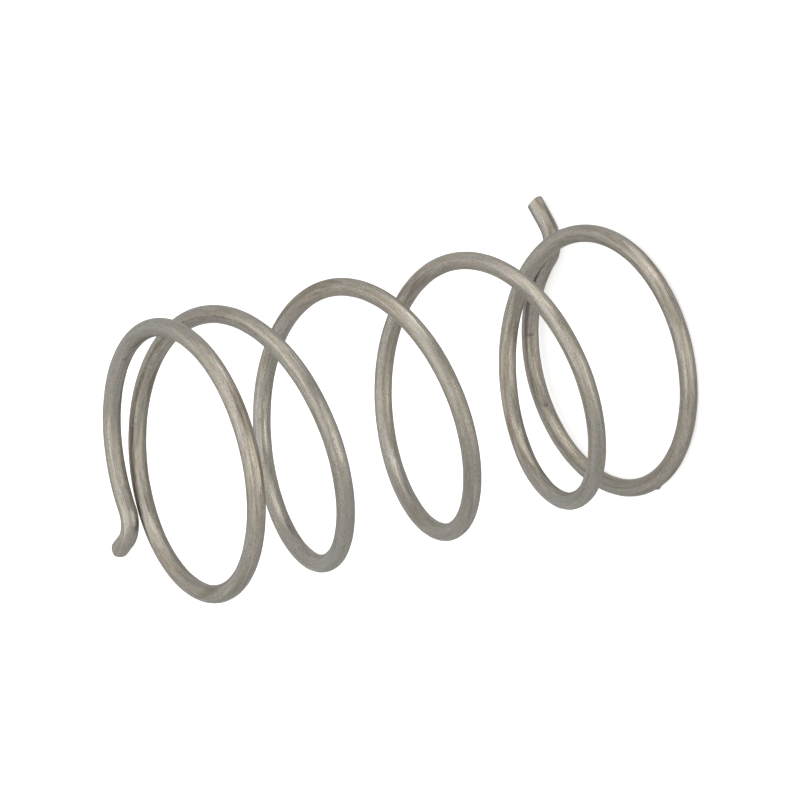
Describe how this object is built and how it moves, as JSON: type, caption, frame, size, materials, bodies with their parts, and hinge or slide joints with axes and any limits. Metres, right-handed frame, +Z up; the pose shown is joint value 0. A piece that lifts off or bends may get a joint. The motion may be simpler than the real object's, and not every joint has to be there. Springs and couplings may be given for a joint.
{
  "type": "compression spring",
  "caption": "Small open-coil compression spring of round steel wire, with closed end coils and both wire ends bent outwards into short tangs.",
  "frame": {"origin": "on the coil's axis, in the plane that the lower end coil rests on", "axes": "+Z up the coil's axis to the other end coil; the wire's lower bend starts over the +X axis"},
  "size_m": [0.0224, 0.0216, 0.0358],
  "materials": {
    "spring_wire": "satin drawn wire"
  },
  "bodies": {
    "root": {"coil_spring": "spring_wire"}
  },
  "joints": []
}
